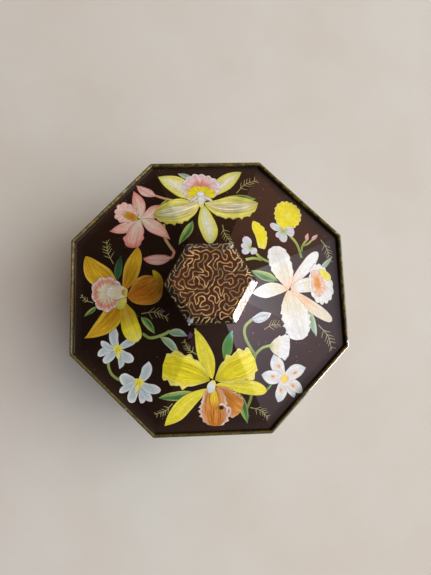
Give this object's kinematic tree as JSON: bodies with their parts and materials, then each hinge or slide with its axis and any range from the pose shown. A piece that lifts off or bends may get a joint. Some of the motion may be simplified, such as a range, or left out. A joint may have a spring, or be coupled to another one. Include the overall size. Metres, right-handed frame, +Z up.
{
  "type": "lidded tin",
  "caption": "Octagonal tinplate box with a lift-off lid, a low concave roof and a hexagonal knob, lacquered dark brown and printed with orchids and fine gold scrollwork.",
  "frame": {"origin": "centre of the base, on the surface the tin stands on", "axes": "+Z up through the knob; flats of the octagon face +X and +Y; the side seam is at the back, on +Y, and -Y is the front"},
  "size_m": [0.15, 0.15, 0.128],
  "materials": {
    "printed_brown": "gloss",
    "knob_brown": "gloss",
    "gold_lacquer": "satin",
    "bare_tinplate": "satin",
    "zinc_steel": "satin"
  },
  "bodies": {
    "tin_body": {"body_wall": "printed_brown", "neck_collar": "gold_lacquer", "base_panel": "bare_tinplate"},
    "lid": {"lid_panel": "printed_brown", "lid_skirt": "printed_brown", "knob_cap": "printed_brown", "knob_neck": "knob_brown", "knob_bolt": "zinc_steel", "knob_washer": "zinc_steel", "knob_nut": "zinc_steel"}
  },
  "joints": [
    {"name": "lid_lift", "type": "slide", "parent": "tin_body", "child": "lid", "axis": [0, 0, 1], "range_m": [0, 0.06]}
  ]
}
